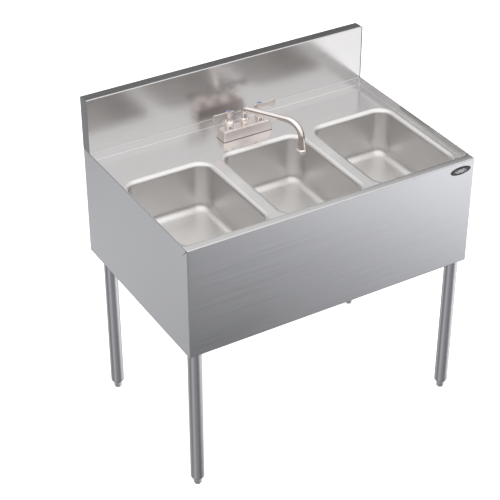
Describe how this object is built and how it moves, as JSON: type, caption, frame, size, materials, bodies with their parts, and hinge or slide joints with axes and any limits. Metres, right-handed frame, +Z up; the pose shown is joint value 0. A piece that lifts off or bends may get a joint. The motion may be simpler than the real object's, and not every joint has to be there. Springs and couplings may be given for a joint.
{
  "type": "three compartment sink",
  "caption": "Underbar sink with side-by-side deep-drawn bowls in a sunken deck, a backsplash, tubular legs with screw feet, and a deck faucet with a swinging spout.",
  "frame": {"origin": "middle of the footprint on the floor, under the feet", "axes": "+X to the user's right, +Y to the wall behind, +Z up"},
  "size_m": [0.9144, 0.6076, 0.986],
  "materials": {
    "bowl_steel": "fine brushed satin, soft reflections",
    "panel_steel": "brushed satin",
    "tube_steel": "satin drawn tube",
    "chrome": "bright polished plating",
    "brass": "as machined",
    "rubber": "matte black",
    "white_plastic": "matte",
    "index_blue": "glossy",
    "badge_black": null
  },
  "bodies": {
    "sink": {"deck_pan": "bowl_steel", "front_apron": "panel_steel", "left_side_panel": "panel_steel", "right_side_panel": "panel_steel", "splash_panel": "bowl_steel", "left_splash_end": "panel_steel", "right_splash_end": "panel_steel", "rear_rail": "panel_steel", "name_badge": "badge_black", "left_bowl": "bowl_steel", "left_drain_body": "chrome", "left_drain_gasket": "rubber", "left_drain_locknut": "brass", "center_bowl": "bowl_steel", "center_drain_body": "chrome", "center_drain_gasket": "rubber", "center_drain_locknut": "brass", "right_bowl": "bowl_steel", "right_drain_body": "chrome", "right_drain_gasket": "rubber", "right_drain_locknut": "brass", "front_left_leg": "tube_steel", "front_left_leg_socket": "panel_steel", "front_left_leg_insert": "tube_steel", "front_right_leg": "tube_steel", "front_right_leg_socket": "panel_steel", "front_right_leg_insert": "tube_steel", "back_left_leg": "tube_steel", "back_left_leg_socket": "panel_steel", "back_left_leg_insert": "tube_steel", "back_right_leg": "tube_steel", "back_right_leg_socket": "panel_steel", "back_right_leg_insert": "tube_steel", "faucet_base": "chrome", "faucet_gasket": "rubber", "left_inlet_shank": "brass", "left_shank_washer": "white_plastic", "left_shank_locknut": "brass", "left_bonnet": "chrome", "right_inlet_shank": "brass", "right_shank_washer": "white_plastic", "right_shank_locknut": "brass", "right_bonnet": "chrome", "spout_nut": "chrome"},
    "spout": {"spout_tube": "chrome", "aerator_housing": "chrome", "aerator_insert": "white_plastic"},
    "left_valve_handle": {"left_stem": "brass", "left_handle": "chrome", "left_index_cap": "index_blue", "left_handle_screw": "chrome"},
    "right_valve_handle": {"right_stem": "brass", "right_handle": "chrome", "right_index_cap": "index_blue", "right_handle_screw": "chrome"},
    "front_left_bullet_foot": {"front_left_foot": "tube_steel"},
    "front_right_bullet_foot": {"front_right_foot": "tube_steel"},
    "back_left_bullet_foot": {"back_left_foot": "tube_steel"},
    "back_right_bullet_foot": {"back_right_foot": "tube_steel"}
  },
  "joints": [
    {"name": "spout_swing", "type": "hinge", "parent": "sink", "child": "spout", "pos_m": [0, 0.18675, 0.8436], "axis": [0, 0, 1], "range_deg": [-87, 43]},
    {"name": "left_handle_turn", "type": "hinge", "parent": "sink", "child": "left_valve_handle", "pos_m": [-0.0508, 0.18675, 0.8636], "axis": [0, 0, 1], "range_deg": [0, 90]},
    {"name": "right_handle_turn", "type": "hinge", "parent": "sink", "child": "right_valve_handle", "pos_m": [0.0508, 0.18675, 0.8636], "axis": [0, 0, 1], "range_deg": [-90, 0]},
    {"name": "front_left_foot_adjust", "type": "slide", "parent": "sink", "child": "front_left_bullet_foot", "axis": [0, 0, 1], "range_m": [-0.025, 0]},
    {"name": "front_right_foot_adjust", "type": "slide", "parent": "sink", "child": "front_right_bullet_foot", "axis": [0, 0, 1], "range_m": [-0.025, 0]},
    {"name": "back_left_foot_adjust", "type": "slide", "parent": "sink", "child": "back_left_bullet_foot", "axis": [0, 0, 1], "range_m": [-0.025, 0]},
    {"name": "back_right_foot_adjust", "type": "slide", "parent": "sink", "child": "back_right_bullet_foot", "axis": [0, 0, 1], "range_m": [-0.025, 0]}
  ]
}
